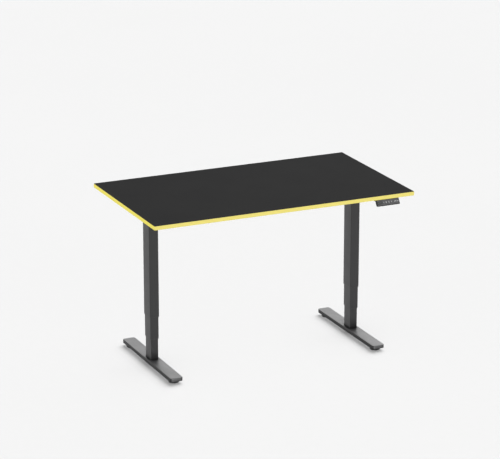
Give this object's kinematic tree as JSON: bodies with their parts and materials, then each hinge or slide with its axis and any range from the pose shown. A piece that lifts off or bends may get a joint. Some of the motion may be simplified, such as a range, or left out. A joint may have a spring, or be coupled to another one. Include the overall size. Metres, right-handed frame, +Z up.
{
  "type": "height adjustable desk",
  "caption": "Electric sit-stand desk: dark rectangular top with yellow edging on two telescopic T-foot columns, push-button handset under the front edge.",
  "frame": {"origin": "on the floor under the middle of the desktop", "axes": "+X along the desktop's long side to the user's right, +Y away from the user, +Z up through the work surface"},
  "size_m": [1.4, 0.8163, 0.854],
  "materials": {
    "desktop_laminate": "matte black melamine laminate on particle board",
    "yellow_edging": "satin ABS edging",
    "graphite_coat": "fine-textured graphite powder coat",
    "bare_steel": "rolled thread, greased",
    "cast_metal": "die cast, bead blasted",
    "slide_plastic": "smooth acetal",
    "bronze": "machined",
    "glide_plastic": "moulded",
    "housing_plastic": "fine spark texture",
    "fascia_plastic": "satin film",
    "button_plastic": "satin",
    "window_plastic": "polished smoked acrylic",
    "cable_jacket": "matte PVC",
    "circuit_board": "glass-epoxy board with a green solder mask"
  },
  "bodies": {
    "left_base": {"left_foot_beam": "graphite_coat", "left_inner_tube": "graphite_coat", "left_inner_cap": "slide_plastic", "left_lower_nut": "bronze"},
    "left_middle": {"left_middle_tube": "graphite_coat", "left_middle_guide": "slide_plastic", "left_middle_cap": "slide_plastic"},
    "left_hollow_spindle_unit": {"left_hollow_spindle": "bare_steel", "left_upper_nut": "bronze"},
    "left_spindle_unit": {"left_spindle": "bare_steel", "left_worm_wheel": "slide_plastic"},
    "left_worm_shaft": {"left_worm": "bare_steel"},
    "left_front_foot_glide": {"left_front_glide": "glide_plastic"},
    "left_rear_foot_glide": {"left_rear_glide": "glide_plastic"},
    "right_base": {"right_foot_beam": "graphite_coat", "right_inner_tube": "graphite_coat", "right_inner_cap": "slide_plastic", "right_lower_nut": "bronze"},
    "right_middle": {"right_middle_tube": "graphite_coat", "right_middle_guide": "slide_plastic", "right_middle_cap": "slide_plastic"},
    "right_hollow_spindle_unit": {"right_hollow_spindle": "bare_steel", "right_upper_nut": "bronze"},
    "right_spindle_unit": {"right_spindle": "bare_steel", "right_worm_wheel": "slide_plastic"},
    "right_worm_shaft": {"right_worm": "bare_steel"},
    "right_front_foot_glide": {"right_front_glide": "glide_plastic"},
    "right_rear_foot_glide": {"right_rear_glide": "glide_plastic"},
    "carriage": {"desktop_board": "desktop_laminate", "edge_band": "yellow_edging", "front_rail": "graphite_coat", "rear_rail": "graphite_coat", "control_box": "housing_plastic", "control_box_plate": "graphite_coat", "control_board": "circuit_board", "mains_inlet": "slide_plastic", "handset_shell": "housing_plastic", "handset_fascia": "fascia_plastic", "display_window": "window_plastic", "handset_lead": "cable_jacket", "left_outer_tube": "graphite_coat", "left_outer_guide": "slide_plastic", "left_gearbox": "cast_metal", "left_motor": "graphite_coat", "left_side_bracket": "graphite_coat", "left_motor_cover": "graphite_coat", "left_motor_lead": "cable_jacket", "right_outer_tube": "graphite_coat", "right_outer_guide": "slide_plastic", "right_gearbox": "cast_metal", "right_motor": "graphite_coat", "right_side_bracket": "graphite_coat", "right_motor_cover": "graphite_coat", "right_motor_lead": "cable_jacket"},
    "memory_button_1_cap": {"memory_button_1": "button_plastic"},
    "memory_button_2_cap": {"memory_button_2": "button_plastic"},
    "memory_button_3_cap": {"memory_button_3": "button_plastic"},
    "store_button_cap": {"store_button": "button_plastic"},
    "up_button_cap": {"up_button": "button_plastic"},
    "down_button_cap": {"down_button": "button_plastic"}
  },
  "joints": [
    {"name": "left_lower_lift", "type": "slide", "parent": "left_base", "child": "left_middle", "axis": [0, 0, 1], "range_m": [-0.108, 0.2125]},
    {"name": "left_upper_lift", "type": "slide", "parent": "left_middle", "child": "carriage", "axis": [0, 0, 1], "range_m": [-0.108, 0.2125]},
    {"name": "right_upper_lift", "type": "slide", "parent": "carriage", "child": "right_middle", "axis": [0, 0, -1], "range_m": [-0.108, 0.2125]},
    {"name": "right_lower_lift", "type": "slide", "parent": "right_middle", "child": "right_base", "axis": [0, 0, -1], "range_m": [-0.108, 0.2125]},
    {"name": "left_hollow_spindle_turn", "type": "hinge", "parent": "left_middle", "child": "left_hollow_spindle_unit", "pos_m": [-0.5575, 0, 0.64], "axis": [0, 0, 1], "continuous": true},
    {"name": "left_spindle_turn", "type": "hinge", "parent": "carriage", "child": "left_spindle_unit", "pos_m": [-0.5575, 0, 0.8102], "axis": [0, 0, 1], "continuous": true},
    {"name": "left_worm_turn", "type": "hinge", "parent": "carriage", "child": "left_worm_shaft", "pos_m": [-0.5332, 0.0205, 0.8102], "axis": [1, 0, 0], "continuous": true},
    {"name": "left_front_glide_screw", "type": "slide", "parent": "left_base", "child": "left_front_foot_glide", "axis": [0, 0, -1], "range_m": [0, 0.008]},
    {"name": "left_rear_glide_screw", "type": "slide", "parent": "left_base", "child": "left_rear_foot_glide", "axis": [0, 0, -1], "range_m": [0, 0.008]},
    {"name": "right_hollow_spindle_turn", "type": "hinge", "parent": "right_middle", "child": "right_hollow_spindle_unit", "pos_m": [0.5575, 0, 0.64], "axis": [0, 0, 1], "continuous": true},
    {"name": "right_spindle_turn", "type": "hinge", "parent": "carriage", "child": "right_spindle_unit", "pos_m": [0.5575, 0, 0.8102], "axis": [0, 0, 1], "continuous": true},
    {"name": "right_worm_turn", "type": "hinge", "parent": "carriage", "child": "right_worm_shaft", "pos_m": [0.5332, 0.0205, 0.8102], "axis": [1, 0, 0], "continuous": true},
    {"name": "right_front_glide_screw", "type": "slide", "parent": "right_base", "child": "right_front_foot_glide", "axis": [0, 0, -1], "range_m": [0, 0.008]},
    {"name": "right_rear_glide_screw", "type": "slide", "parent": "right_base", "child": "right_rear_foot_glide", "axis": [0, 0, -1], "range_m": [0, 0.008]},
    {"name": "memory_button_1_press", "type": "slide", "parent": "carriage", "child": "memory_button_1_cap", "axis": [0, 0.8252, -0.5648], "range_m": [0, 0.0008], "stiffness_N_per_m": 1200, "springref_m": -0.0004},
    {"name": "memory_button_2_press", "type": "slide", "parent": "carriage", "child": "memory_button_2_cap", "axis": [0, 0.8252, -0.5648], "range_m": [0, 0.0008], "stiffness_N_per_m": 1200, "springref_m": -0.0004},
    {"name": "memory_button_3_press", "type": "slide", "parent": "carriage", "child": "memory_button_3_cap", "axis": [0, 0.8252, -0.5648], "range_m": [0, 0.0008], "stiffness_N_per_m": 1200, "springref_m": -0.0004},
    {"name": "store_button_press", "type": "slide", "parent": "carriage", "child": "store_button_cap", "axis": [0, 0.8252, -0.5648], "range_m": [0, 0.0008], "stiffness_N_per_m": 1200, "springref_m": -0.0004},
    {"name": "up_button_press", "type": "slide", "parent": "carriage", "child": "up_button_cap", "axis": [0, 0.8252, -0.5648], "range_m": [0, 0.0008], "stiffness_N_per_m": 1200, "springref_m": -0.0004},
    {"name": "down_button_press", "type": "slide", "parent": "carriage", "child": "down_button_cap", "axis": [0, 0.8252, -0.5648], "range_m": [0, 0.0008], "stiffness_N_per_m": 1200, "springref_m": -0.0004}
  ],
  "couplings": [
    {"joint": "left_upper_lift", "follows": "left_lower_lift", "ratio": 1},
    {"joint": "right_upper_lift", "follows": "left_lower_lift", "ratio": 1},
    {"joint": "right_lower_lift", "follows": "left_lower_lift", "ratio": 1},
    {"joint": "left_hollow_spindle_turn", "follows": "left_lower_lift", "rad_per_m": 392.7},
    {"joint": "left_spindle_turn", "follows": "left_lower_lift", "rad_per_m": 785.4},
    {"joint": "left_worm_turn", "follows": "left_lower_lift", "rad_per_m": 15708},
    {"joint": "right_hollow_spindle_turn", "follows": "left_lower_lift", "rad_per_m": 392.7},
    {"joint": "right_spindle_turn", "follows": "left_lower_lift", "rad_per_m": 785.4},
    {"joint": "right_worm_turn", "follows": "left_lower_lift", "rad_per_m": 15708}
  ]
}
